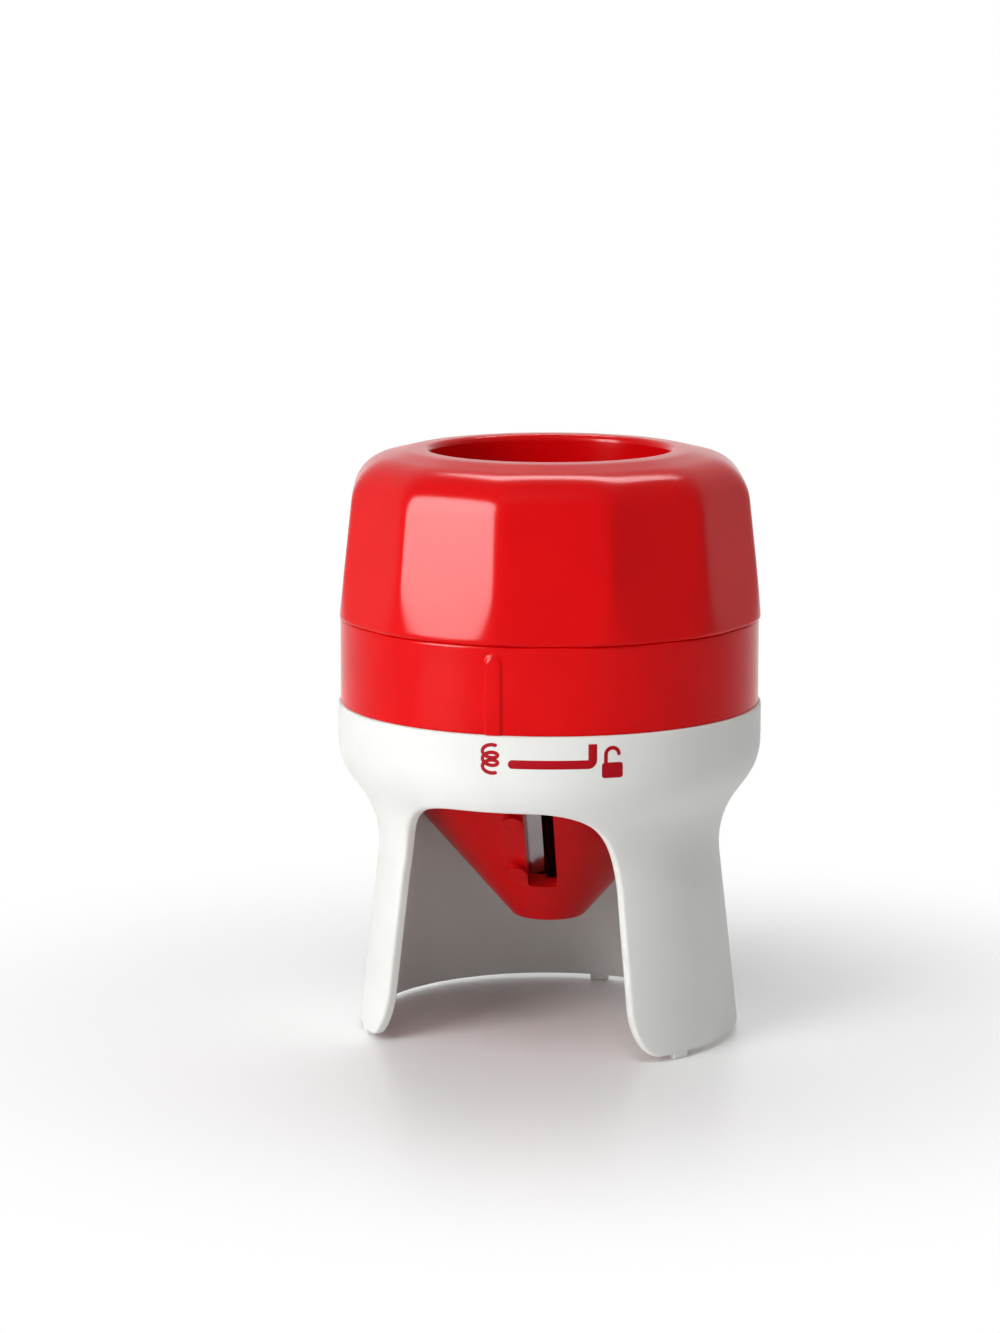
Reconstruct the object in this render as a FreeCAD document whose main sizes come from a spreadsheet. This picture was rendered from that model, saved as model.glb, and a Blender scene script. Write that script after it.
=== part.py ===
"""Handheld spiralizer: a stand, a turn-lock cutter insert and a hand-cranked food holder.

The frame has +Z up, the floor at z = 0 and the axis of rotation on Z. The arch of the stand,
where the strands come out, faces -Y. Lengths are millimetres and angles are degrees.
"""

import FreeCAD, Part
import math
import os

import Sketcher

# Driving dimensions. Each one is written once, here, and everything else follows from them.
SIZES = {
    # Stand: a bell-shaped skirt, narrow at the waist, with a collar on top
    "collar_r": 45.6,
    "collar_top": 72.0,
    "collar_tall": 12.4,
    "shoulder_tall": 12.6,
    "shoulder_round": 14.0,
    "waist_r": 36.1,
    "waist_round": 20.0,
    "foot_flare": 5.1,
    "foot_gap": 1.2,
    "stand_wall": 2.4,
    "foot_pad_w": 4.0,
    "foot_pad_angle": 60.0,
    # Arch in the front of the skirt, cut square to the wall
    "arch_below": 4.6,
    "arch_head_angle": 39.5,
    "arch_flare_angle": 3.5,
    "arch_corner": 20.0,
    "leg_corner": 11.0,
    "heel_drop": 0.8,
    "arch_edge": 0.8,
    # Turn lock between stand and guide ring
    "lug_w": 4.0,
    "lug_tall": 3.0,
    "lug_deep": 1.9,
    "lug_below": 6.0,
    "lug_clear": 0.35,
    "lock_turn": 28.0,
    # Guide ring
    "ring_step": 0.6,
    "ring_wall": 2.0,
    "seat_rise": 1.2,
    "ring_tall": 18.5,
    "skirt_wall": 2.15,
    "skirt_above": 2.9,
    "turn_fit": 0.05,
    "rim_round": 0.7,
    "index_w": 3.6,
    "index_out": 0.6,
    "index_short": 2.0,
    "index_angle": 2.0,
    # Cutter cone
    "seat_fit": 0.1,
    "flange_thick": 2.0,
    "key_over": 0.6,
    "cone_wall": 2.0,
    "cone_half_angle": 41.0,
    "cone_straight": 9.2,
    "cone_low_r": 7.6,
    "cone_bend": 5.0,
    "key_w": 5.0,
    "key_deep": 1.4,
    "blade_turn": 13.0,
    # Blade bed, window and blade, measured on the cone's generator from the inner apex
    "window_low": 21.5,
    "window_high": 8.8,
    "window_right": 2.9,
    "window_left": 3.4,
    "bed_rest": 1.2,
    "bed_end": 0.7,
    "bed_back": 0.6,
    "lead_lift": 0.6,
    "slice_thick": 1.5,
    "edge_clear": 0.3,
    "edge_thick": 0.05,
    "blade_thick": 0.6,
    "blade_hold": 4.4,
    "blade_lap": 1.8,
    "blade_bevel": 2.2,
    "comb_w": 3.4,
    "comb_thick": 0.5,
    "comb_gap": 0.5,
    "comb_short": 1.0,
    "tooth_tall": 1.7,
    "tooth_w": 2.4,
    "tooth_thick": 0.5,
    "tooth_pitch": 4.0,
    "screw_edge": 2.1,
    "screw_head_r": 1.9,
    "screw_head": 0.6,
    "screw_r": 1.0,
    "screw_long": 4.2,
    "screw_fit": 0.02,
    "boss_below": 0.8,
    # Knob shell, measured from the underside of its lip
    "lip_over": 0.9,
    "lip_round": 1.2,
    "swell_up": 13.0,
    "swell_in": 0.2,
    "shoulder_in": 2.7,
    "shoulder_drop": 3.15,
    "knob_round": 12.0,
    "knob_tall": 36.6,
    "knob_wall": 2.3,
    "facet_foot_in": 0.8,
    "facet_lean_angle": 6.2,
    "well_r": 25.6,
    "well_wall": 2.0,
    "well_rim": 1.6,
    "well_hem": 4.0,
    # Holder core: finger well, flange, band and spigot
    "flange_in": 2.0,
    "band_clear": 1.0,
    "band_wall": 2.2,
    "band_tall": 9.4,
    "web_thick": 2.2,
    "web_flare": 0.8,
    "spigot_over": 0.1,
    "spigot_wall": 2.0,
    "spigot_drop": 13.7,
    "rib_thick": 1.4,
    # Prong carrier, prongs and centre spike
    "crown_tall": 6.0,
    "crown_taper": 2.4,
    "crown_wall": 2.0,
    "plug_up": 6.0,
    "plug_wall": 2.0,
    "floor_thick": 2.5,
    "boss_r": 4.0,
    "boss_up": 2.0,
    "boss_low": 2.0,
    "spur_tall": 1.5,
    "spur_w": 1.8,
    "slit_w": 0.8,
    "prong_r": 1.1,
    "prong_circle": 14.0,
    "prong_reach": 6.5,
    "prong_head_r": 2.0,
    "prong_head": 1.0,
    "spike_r": 1.5,
    "spike_reach": 9.0,
    "spike_head_r": 3.0,
    "holder_rest_turn": 18.0,
}

LOCK_LUGS = 3
CONE_KEYS = 3
FACETS = 12
CORE_RIBS = 8
CROWN_SLITS = 3
PRONGS = 6

doc = FreeCAD.newDocument("spiralizer")
sheet = doc.addObject("Spreadsheet::Sheet", "Sizes")
for row, (alias, number) in enumerate(SIZES.items(), start=1):
    sheet.set(f"A{row}", alias)
    sheet.set(f"B{row}", str(number))
    sheet.setAlias(f"B{row}", alias)
doc.recompute()


class Dim:
    """A number together with the sheet expression that gives it."""

    def __init__(self, number, text):
        self.number = float(number)
        self.text = text

    def __add__(self, other):
        other = dim(other)
        return Dim(self.number + other.number, f"({self.text} + {other.text})")

    def __sub__(self, other):
        other = dim(other)
        return Dim(self.number - other.number, f"({self.text} - {other.text})")

    def __mul__(self, other):
        other = dim(other)
        return Dim(self.number * other.number, f"({self.text} * {other.text})")

    def __truediv__(self, other):
        other = dim(other)
        return Dim(self.number / other.number, f"({self.text} / {other.text})")

    def __neg__(self):
        return Dim(-self.number, f"(0 - {self.text})")

    def __radd__(self, other):
        return dim(other) + self

    def __rsub__(self, other):
        return dim(other) - self

    def __rmul__(self, other):
        return dim(other) * self


def dim(value):
    """A plain number as a Dim, and a Dim as it is."""
    return value if isinstance(value, Dim) else Dim(value, repr(float(value)))


def sine(angle):
    return Dim(math.sin(math.radians(angle.number)), f"sin({angle.text} * 1deg)")


def cosine(angle):
    return Dim(math.cos(math.radians(angle.number)), f"cos({angle.text} * 1deg)")


def tangent(angle):
    return Dim(math.tan(math.radians(angle.number)), f"tan({angle.text} * 1deg)")


class Sizes:
    """Every size of the sheet as an attribute."""

    def __init__(self):
        for name in SIZES:
            setattr(self, name, Dim(sheet.get(name), f"Sizes.{name}"))


size = Sizes()


def origin_plane(body, role):
    """The body's own origin plane with this role."""
    return next(item for item in body.Origin.OriginFeatures if item.Role == role)


def new_body(label):
    body = doc.addObject("PartDesign::Body", label)
    body.Label = label
    return body


def bind(sketch, constraint, value):
    """Add a constraint that ends in a length, and tie the length to the sheet."""
    value = dim(value)
    index = sketch.addConstraint(Sketcher.Constraint(*constraint, value.number))
    if "Sizes." in value.text:
        sketch.setExpression(f"Constraints[{index}]", value.text)


def new_sketch(body, name, plane, offset=None):
    sketch = body.newObject("Sketcher::SketchObject", name)
    sketch.AttachmentSupport = [(origin_plane(body, plane), "")]
    sketch.MapMode = "FlatFace"
    if offset is not None:
        sketch.AttachmentOffset = offset
    return sketch


def corner_arc(before, corner, after, radius):
    """Tangent points and centre of the arc that rounds a corner between two lines."""
    back = (before - corner).normalize()
    ahead = (after - corner).normalize()
    half = back.getAngle(ahead) / 2
    inward = (back + ahead).normalize()
    reach = radius / math.tan(half)
    return corner + back * reach, corner + ahead * reach, corner + inward * (radius / math.sin(half))


def outline(body, name, plane, corners, offset=None):
    """A closed sketch through corners (x, y) or (x, y, radius), each one bound to the sheet."""
    sketch = new_sketch(body, name, plane, offset)
    count = len(corners)
    points = [FreeCAD.Vector(dim(c[0]).number, dim(c[1]).number, 0) for c in corners]
    leave, reach, arcs = list(points), list(points), {}
    for i, corner in enumerate(corners):
        if len(corner) > 2:
            before, after = points[i - 1], points[(i + 1) % count]
            reach[i], leave[i], centre = corner_arc(before, points[i], after, dim(corner[2]).number)
            arcs[i] = centre
    for i in range(count):
        sketch.addGeometry(Part.LineSegment(leave[i], reach[(i + 1) % count]))
    for i, centre in arcs.items():
        start, end = reach[i] - centre, leave[i] - centre
        left_turn = start.cross(end).z > 0
        first, last = (start, end) if left_turn else (end, start)
        circle = Part.Circle(centre, FreeCAD.Vector(0, 0, 1), start.Length)
        span = math.atan2(last.y, last.x) - math.atan2(first.y, first.x)
        begin = math.atan2(first.y, first.x)
        arc = sketch.addGeometry(Part.ArcOfCircle(circle, begin, begin + span % (2 * math.pi)))
        apex = sketch.addGeometry(Part.Point(points[i]), True)
        arc_in, arc_out = (1, 2) if left_turn else (2, 1)
        line_in, line_out = (i - 1) % count, i
        sketch.addConstraint(Sketcher.Constraint("Tangent", line_in, 2, arc, arc_in))
        sketch.addConstraint(Sketcher.Constraint("Tangent", arc, arc_out, line_out, 1))
        sketch.addConstraint(Sketcher.Constraint("PointOnObject", apex, 1, line_in))
        sketch.addConstraint(Sketcher.Constraint("PointOnObject", apex, 1, line_out))
        bind(sketch, ("Radius", arc), corners[i][2])
        bind(sketch, ("DistanceX", -1, 1, apex, 1), corners[i][0])
        bind(sketch, ("DistanceY", -1, 1, apex, 1), corners[i][1])
    for i in range(count):
        if i not in arcs:
            sketch.addConstraint(Sketcher.Constraint("Coincident", (i - 1) % count, 2, i, 1))
            bind(sketch, ("DistanceX", -1, 1, i, 1), corners[i][0])
            bind(sketch, ("DistanceY", -1, 1, i, 1), corners[i][1])
    return sketch


def disc(body, name, plane, x, y, radius, offset=None):
    """A sketch of one circle."""
    sketch = new_sketch(body, name, plane, offset)
    centre = FreeCAD.Vector(dim(x).number, dim(y).number, 0)
    sketch.addGeometry(Part.Circle(centre, FreeCAD.Vector(0, 0, 1), dim(radius).number))
    bind(sketch, ("Radius", 0), radius)
    bind(sketch, ("DistanceX", -1, 1, 0, 3), x)
    bind(sketch, ("DistanceY", -1, 1, 0, 3), y)
    return sketch


def feature(body, kind, name, profile, **settings):
    """A PartDesign feature on a profile, with sizes given as Dims and the rest as values."""
    item = body.newObject(f"PartDesign::{kind}", name)
    item.Profile = profile
    for key, value in settings.items():
        if isinstance(value, Dim):
            setattr(item, key, value.number)
            item.setExpression(key, value.text)
        else:
            setattr(item, key, value)
    return item


def turned(body, name, corners, kind="Revolution", angle=360.0, start=0.0):
    """A full or part turn about Z of a profile drawn as (radius, height)."""
    spin = FreeCAD.Placement(
        FreeCAD.Vector(), FreeCAD.Rotation(FreeCAD.Vector(0, 1, 0), dim(start).number)
    )
    sketch = outline(body, f"{name}_profile", "XZ_Plane", corners, spin)
    return feature(body, kind, name, sketch, ReferenceAxis=(sketch, ["V_Axis"]), Angle=dim(angle))


def around(body, name, original, count):
    """A ring of copies of a feature about Z. The body's tip moves to it."""
    pattern = body.newObject("PartDesign::PolarPattern", name)
    pattern.Originals = [original]
    pattern.Axis = (next(o for o in body.Origin.OriginFeatures if o.Role == "Z_Axis"), [""])
    pattern.Angle = 360
    pattern.Occurrences = count
    body.Tip = pattern
    return pattern


def edges_where(shape, test):
    """Names of the edges whose points all pass the test."""
    names = []
    for number, edge in enumerate(shape.Edges, start=1):
        points = edge.discretize(5)
        if all(test(point) for point in points):
            names.append(f"Edge{number}")
    return names


def round_edges(body, name, test, radius):
    """A fillet on every edge that passes the test."""
    doc.recompute()
    base = body.Tip
    fillet = body.newObject("PartDesign::Fillet", name)
    fillet.Base = (base, edges_where(base.Shape, test))
    fillet.Radius = radius.number
    fillet.setExpression("Radius", radius.text)
    return fillet


def turned_by(angle, up=0.0):
    """A placement that turns about Z and lifts."""
    spin = FreeCAD.Rotation(FreeCAD.Vector(0, 0, 1), dim(angle).number)
    return FreeCAD.Placement(FreeCAD.Vector(0, 0, dim(up).number), spin)


# Heights and radii that several pieces share
collar_bore = size.collar_r - size.stand_wall
collar_low = size.collar_top - size.collar_tall
waist_up = collar_low - size.shoulder_tall
arch_top = collar_low - size.arch_below
arch_foot_angle = size.arch_head_angle + size.arch_flare_angle
foot_r = size.waist_r + size.foot_flare
lug_up = size.collar_top - size.lug_below
ring_r = size.collar_r - size.ring_step
ring_top = size.collar_top + size.ring_tall
seat_up = size.collar_top + size.seat_rise
ring_bore = ring_r - size.ring_wall
skirt_out = collar_bore - size.turn_fit
skirt_in = skirt_out - size.skirt_wall
skirt_low = collar_low + size.skirt_above
first_lug = 90.0
first_key = 30.0

# The cone's straight wall starts below the collar's top, and its outer and inner apex follow
cone_out = skirt_in - size.seat_fit
cone_in = cone_out - size.cone_wall
cone_slope = tangent(size.cone_half_angle)
bend_out = size.collar_top - size.cone_straight
cone_low = bend_out - (cone_out - size.cone_low_r) / cone_slope
outer_apex = bend_out - cone_out / cone_slope
inner_apex = outer_apex + size.cone_wall / sine(size.cone_half_angle)
bend_in = inner_apex + cone_in / cone_slope

# The blade lies flat above the wall, so that a slice passes under its edge
window_long = cone_in / sine(size.cone_half_angle) - size.window_low - size.window_high
blade_w = size.window_left + size.blade_hold
blade_top = size.lead_lift + size.slice_thick
blade_seat = blade_top - size.blade_thick
blade_long = window_long + size.blade_lap * 2
blade_mid = size.window_low + window_long / 2
comb_right = size.window_right + size.comb_gap
comb_long = window_long - size.comb_short
bed_right = comb_right + size.comb_w + size.bed_rest
screw_at = blade_w - size.screw_edge
screw_spread = window_long * 0.3
screw_deep = size.screw_long - size.blade_thick
screw_boss_r = (screw_at - size.window_left) * 0.9

# The knob's shell and core meet below the well's hem and at the flange
lip_r = ring_r + size.lip_over
swell_r = lip_r - size.swell_in
shoulder_r = lip_r - size.shoulder_in
shoulder_up = size.knob_tall - size.shoulder_drop
facet_foot_r = lip_r - size.facet_foot_in
hem_low = size.knob_tall - size.well_hem
hem_r = size.well_r + size.well_wall
flange_r = lip_r - size.flange_in
band_r = ring_bore - size.band_clear
spigot_r = size.well_r + size.spigot_over
spigot_bore = spigot_r - size.spigot_wall
crown_top = -size.band_tall - size.spigot_drop
crown_low = crown_top - size.crown_tall
crown_low_r = spigot_r - size.crown_taper
plug_top = crown_top + size.plug_up
floor_top = plug_top - size.boss_up
floor_low = floor_top - size.floor_thick


def arch_outline(body, name, away):
    """The arch as it is seen from the axis, drawn on a plane in front at this distance."""
    scale = away / (foot_r * cosine(arch_foot_angle))
    head = away * tangent(size.arch_head_angle)
    foot = away * tangent(arch_foot_angle)
    corner = size.arch_corner * scale
    heel = size.leg_corner * scale
    wide = foot + heel * 1.4
    low = size.foot_gap - size.heel_drop
    below = low - 1
    corners = [
        (-wide, below),
        (wide, below),
        (wide, low),
        (foot, low, heel),
        (head, arch_top, corner),
        (-head, arch_top, corner),
        (-foot, low, heel),
        (-wide, low),
    ]
    place = FreeCAD.Placement(FreeCAD.Vector(0, 0, away.number), FreeCAD.Rotation())
    sketch = outline(body, name, "XZ_Plane", corners, place)
    sketch.setExpression(".AttachmentOffset.Base.z", away.text)
    return sketch


def stand():
    """White bell-shaped stand: collar, shoulder, waist and flared skirt with one arch."""
    body = new_body("base_stand")
    wall = size.stand_wall
    turned(body, "bell", [
        (collar_bore, size.collar_top),
        (collar_bore, collar_low + wall / 3, size.shoulder_round * 0.35),
        (size.waist_r - wall, waist_up + wall / 5, size.waist_round + wall),
        (foot_r - wall, size.foot_gap),
        (foot_r, size.foot_gap),
        (size.waist_r, waist_up, size.waist_round),
        (size.collar_r, collar_low, size.shoulder_round),
        (size.collar_r, size.collar_top),
    ])
    near = arch_outline(body, "arch_near", foot_r * 0.2)
    far = arch_outline(body, "arch_far", foot_r * 1.15)
    feature(body, "SubtractiveLoft", "arch", near, Sections=[far], Ruled=True)
    round_edges(body, "arch_rounding", on_arch, size.arch_edge)
    half = size.lug_w / 2
    lug = outline(body, "lug_plan", "XY_Plane", [
        (collar_bore - size.lug_deep, -half),
        (collar_bore + wall / 3, -half),
        (collar_bore + wall / 3, half),
        (collar_bore - size.lug_deep, half),
    ], turned_by(first_lug, lug_up - size.lug_tall / 2))
    lug.setExpression(".AttachmentOffset.Base.z", (lug_up - size.lug_tall / 2).text)
    lock_lug = feature(body, "Pad", "lock_lug", lug, Length=size.lug_tall)
    around(body, "lock_lugs", lock_lug, LOCK_LUGS)
    pad_half = size.foot_pad_w / 2
    inset = wall / 12
    for index, angle in enumerate((90.0, -90 + size.foot_pad_angle, -90 - size.foot_pad_angle)):
        foot = outline(body, f"foot_pad_plan_{index}", "XY_Plane", [
            (foot_r - wall + inset, -pad_half),
            (foot_r - inset, -pad_half),
            (foot_r - inset, pad_half),
            (foot_r - wall + inset, pad_half),
        ], turned_by(angle))
        feature(body, "Pad", f"foot_pad_{index}", foot, Length=size.foot_gap * 1.5)
    return body


def outer_r(height):
    """The bell's outer radius at a height, by the straight lines between its corners."""
    low = (size.foot_gap.number, foot_r.number)
    high = (waist_up.number, size.waist_r.number)
    if height > waist_up.number:
        low, high = high, (collar_low.number, size.collar_r.number)
    return low[1] + (high[1] - low[1]) * (height - low[0]) / (high[0] - low[0])


def on_arch(point):
    """True for a point on the outer cut edge of the arch."""
    turn = math.degrees(math.atan2(abs(point.x), -point.y))
    if math.hypot(point.x, point.y) < outer_r(point.z) - size.stand_wall.number / 8:
        return False
    if point.z > arch_top.number - 0.01:
        return turn < size.arch_head_angle.number and point.z < arch_top.number + 0.01
    return size.foot_gap.number + 0.01 < point.z and turn < arch_foot_angle.number + 15


def guide_ring():
    """Red ring that holds the cone and turns in the stand's collar."""
    body = new_body("guide_ring")
    turned(body, "ring", [
        (ring_r, ring_top, size.rim_round),
        (ring_bore, ring_top, size.rim_round),
        (ring_bore, seat_up),
        (skirt_in, seat_up),
        (skirt_in, skirt_low),
        (skirt_out, skirt_low),
        (skirt_out, size.collar_top),
        (ring_r, size.collar_top),
    ])
    half = size.index_w / 2
    index_top = ring_top - size.index_short
    deep = size.ring_wall / 4
    place = FreeCAD.Rotation(FreeCAD.Vector(0, 1, 0), size.index_angle.number)
    base = place.multVec(FreeCAD.Vector(0, 0, (ring_r - deep).number))
    rib = outline(body, "index_outline", "XZ_Plane", [
        (-half, size.collar_top),
        (half, size.collar_top),
        (half, index_top, size.index_w * 0.48),
        (-half, index_top, size.index_w * 0.48),
    ], FreeCAD.Placement(base, place))
    feature(body, "Pad", "index_rib", rib, Length=size.index_out + deep)
    key_half = size.key_w / 2 - size.seat_fit
    key = outline(body, "key_plan", "XY_Plane", [
        (ring_bore - size.key_deep + size.seat_fit, -key_half),
        (ring_bore + deep, -key_half),
        (ring_bore + deep, key_half),
        (ring_bore - size.key_deep + size.seat_fit, key_half),
    ], turned_by(first_key, seat_up))
    key.setExpression(".AttachmentOffset.Base.z", seat_up.text)
    key_rib = feature(body, "Pad", "key_rib", key, Length=size.flange_thick + size.key_over)
    around(body, "key_ribs", key_rib, CONE_KEYS)
    half_slot = (size.lug_w / 2 + size.lug_clear) / skirt_in * (180 / math.pi)
    low = lug_up - size.lug_tall / 2 - size.lug_clear
    high = lug_up + size.lug_tall / 2 + size.lug_clear
    run = turned(body, "slot_run", [
        (skirt_in - 0.5, low), (skirt_out + 0.5, low), (skirt_out + 0.5, high), (skirt_in - 0.5, high),
    ], "Groove", size.lock_turn + half_slot * 2, first_lug - size.lock_turn / 2)
    run.Midplane = True
    around(body, "slot_runs", run, LOCK_LUGS)
    entry = turned(body, "slot_entry", [
        (skirt_in - 0.5, skirt_low - 1), (skirt_out + 0.5, skirt_low - 1),
        (skirt_out + 0.5, high), (skirt_in - 0.5, high),
    ], "Groove", half_slot * 2, first_lug - size.lock_turn)
    entry.Midplane = True
    around(body, "slot_entries", entry, LOCK_LUGS)
    return body


def across_wall(along, above=0.0):
    """Frame of a section across the cone's front wall: X to the right, Y inward from the wall."""
    along, above = dim(along), dim(above)
    lean = size.cone_half_angle
    back = above * cosine(lean) - along * sine(lean)
    up = inner_apex + along * cosine(lean) + above * sine(lean)
    turn = FreeCAD.Rotation(FreeCAD.Vector(1, 0, 0), lean.number)
    return FreeCAD.Placement(FreeCAD.Vector(0, back.number, up.number), turn)


def onto_wall(along, above=0.0, right=0.0):
    """Frame that lies on the cone's front wall: X right, Y down the wall, Z inward."""
    frame = across_wall(along, above)
    frame.Rotation = FreeCAD.Rotation(FreeCAD.Vector(1, 0, 0), size.cone_half_angle.number - 90)
    frame.Base.x = dim(right).number
    return frame


def cutter_cone():
    """Red funnel with a flange, key notches, a blade bed and the window for the strands."""
    body = new_body("cutter_cone")
    flange_top = seat_up + size.flange_thick
    flange = ring_bore - size.seat_fit
    floor = cone_low + size.cone_wall
    turned(body, "funnel", [
        (0, cone_low),
        (size.cone_low_r, cone_low, size.cone_wall * 0.8),
        (cone_out, bend_out, size.cone_bend),
        (cone_out, seat_up),
        (flange, seat_up),
        (flange, flange_top),
        (cone_in, flange_top, size.cone_wall / 2),
        (cone_in, bend_in, size.cone_bend - size.cone_wall),
        ((floor - inner_apex) * cone_slope, floor),
        (0, floor),
    ])
    margin = size.blade_lap + size.bed_end
    bed_left = -blade_w - size.bed_back
    bed = outline(body, "bed_section", "XY_Plane", [
        (bed_left, -size.cone_wall * 3),
        (bed_right, -size.cone_wall * 3),
        (bed_right, size.lead_lift),
        (size.edge_clear, size.lead_lift),
        (size.edge_clear, blade_seat),
        (bed_left, blade_seat),
    ], across_wall(size.window_low - margin))
    feature(body, "Pad", "blade_bed", bed, Length=window_long + margin * 2)
    turned(body, "outer_trim", [
        (size.cone_low_r, cone_low),
        (cone_out, bend_out),
        (cone_out + size.cone_wall * 5, bend_out),
        (cone_out + size.cone_wall * 5, cone_low - size.cone_wall * 4),
        (size.cone_low_r, cone_low - size.cone_wall * 4),
    ], "Groove")
    blade_room = outline(body, "blade_room_section", "XY_Plane", [
        (size.edge_clear, blade_seat),
        (size.edge_clear, size.cone_wall * 4),
        (-blade_w - size.seat_fit, size.cone_wall * 4),
        (-blade_w - size.seat_fit, blade_seat),
    ], across_wall(size.window_low - size.blade_lap - size.seat_fit))
    feature(body, "Pocket", "blade_room", blade_room, Reversed=True,
            Length=blade_long + size.seat_fit * 2)
    comb_room = outline(body, "comb_room_section", "XY_Plane", [
        (comb_right - size.seat_fit, size.lead_lift - size.comb_thick),
        (comb_right + size.comb_w + size.seat_fit, size.lead_lift - size.comb_thick),
        (comb_right + size.comb_w + size.seat_fit, size.cone_wall * 4),
        (comb_right - size.seat_fit, size.cone_wall * 4),
    ], across_wall(blade_mid - comb_long / 2 - size.seat_fit))
    feature(body, "Pocket", "comb_room", comb_room, Reversed=True,
            Length=comb_long + size.seat_fit * 2)
    half = window_long / 2
    corner = size.cone_wall * 0.4
    window = outline(body, "window_outline", "XY_Plane", [
        (-size.window_left, -half, corner),
        (size.window_right, -half, corner),
        (size.window_right, half, corner),
        (-size.window_left, half, corner),
    ], onto_wall(blade_mid, size.cone_wall * 2))
    feature(body, "Pocket", "window", window, Length=size.cone_wall * 6)
    for name, side in (("lower", -1), ("upper", 1)):
        along = blade_mid + screw_spread * side
        boss_low = blade_seat - screw_deep - size.boss_below
        boss = disc(body, f"screw_boss_{name}_circle", "XY_Plane", 0, 0, screw_boss_r,
                    onto_wall(along, boss_low, -screw_at))
        feature(body, "Pad", f"screw_boss_{name}", boss, Length=-boss_low)
        hole = disc(body, f"screw_hole_{name}_circle", "XY_Plane", 0, 0, size.screw_r + size.screw_fit,
                    onto_wall(along, blade_seat, -screw_at))
        feature(body, "Pocket", f"screw_hole_{name}", hole, Length=screw_deep)
    half = size.key_w / 2
    notch = outline(body, "key_notch_plan", "XY_Plane", [
        (flange - size.key_deep, -half),
        (flange + size.cone_wall, -half),
        (flange + size.cone_wall, half),
        (flange - size.key_deep, half),
    ], turned_by(first_key - size.blade_turn, flange_top))
    key_notch = feature(body, "Pocket", "key_notch", notch, Length=size.flange_thick)
    around(body, "key_notches", key_notch, CONE_KEYS)
    body.Placement = turned_by(size.blade_turn)
    return body


def slicing_blade():
    """Flat steel blade with a ground edge along the cone, held by two screws."""
    body = new_body("slicing_blade")
    section = outline(body, "blade_section", "XZ_Plane", [
        (0, 0),
        (-blade_w, 0),
        (-blade_w, -size.blade_thick),
        (-size.blade_bevel, -size.blade_thick),
        (0, -size.edge_thick),
    ])
    feature(body, "Pad", "blade", section, Midplane=True, Length=blade_long)
    for name, side in (("lower", 1), ("upper", -1)):
        hole = disc(body, f"hole_{name}_circle", "XY_Plane", -screw_at, screw_spread * side,
                    size.screw_r + size.seat_fit)
        feature(body, "Pocket", f"hole_{name}", hole, Length=size.blade_thick * 2)
    body.Placement = turned_by(size.blade_turn).multiply(onto_wall(blade_mid, blade_top))
    return body


def julienne_comb():
    """Stamped steel comb whose small upright teeth split each slice into strands."""
    body = new_body("julienne_comb")
    half = comb_long / 2
    strip = outline(body, "strip_outline", "XY_Plane", [
        (0, -half),
        (size.comb_w, -half),
        (size.comb_w, half),
        (0, half),
    ], turned_by(0, -size.comb_thick))
    feature(body, "Pad", "strip", strip, Length=size.comb_thick)
    count = int((comb_long.number - size.tooth_w.number) / size.tooth_pitch.number) + 1
    run = size.tooth_pitch * (count - 1)
    root = size.comb_thick / 2
    place = FreeCAD.Placement(FreeCAD.Vector(0, 0, (run / 2).number), FreeCAD.Rotation())
    tooth_side = outline(body, "tooth_side", "XZ_Plane", [
        (size.tooth_thick, -root),
        (size.tooth_thick + size.tooth_w, -root),
        (size.tooth_thick * 2, size.tooth_tall),
        (size.tooth_thick, size.tooth_tall),
    ], place)
    tooth = feature(body, "Pad", "tooth", tooth_side, Midplane=True, Length=size.tooth_thick)
    teeth = body.newObject("PartDesign::LinearPattern", "teeth")
    teeth.Originals = [tooth]
    teeth.Direction = (origin_plane(body, "Y_Axis"), [""])
    teeth.Length = run.number
    teeth.setExpression("Length", run.text)
    teeth.Occurrences = count
    body.Tip = teeth
    body.Placement = turned_by(size.blade_turn).multiply(
        onto_wall(blade_mid, size.lead_lift, comb_right)
    )
    return body


def blade_screw(label, side):
    """Small low-headed screw through the blade into a boss of the cone."""
    body = new_body(label)
    turned(body, "screw", [
        (0, -size.screw_long),
        (size.screw_r * 0.5, -size.screw_long),
        (size.screw_r, -size.screw_long + 1),
        (size.screw_r, 0),
        (size.screw_head_r, 0),
        (size.screw_head_r * 0.8, size.screw_head * 0.8, size.screw_head),
        (0, size.screw_head),
    ])
    along = blade_mid + screw_spread * side
    body.Placement = turned_by(size.blade_turn).multiply(onto_wall(along, blade_top, -screw_at))
    return body


def holder_place(turn=0.0):
    """Where the pieces of the holder sit: on the ring's rim, turned as a set."""
    return turned_by(size.holder_rest_turn + turn, ring_top)


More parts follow.
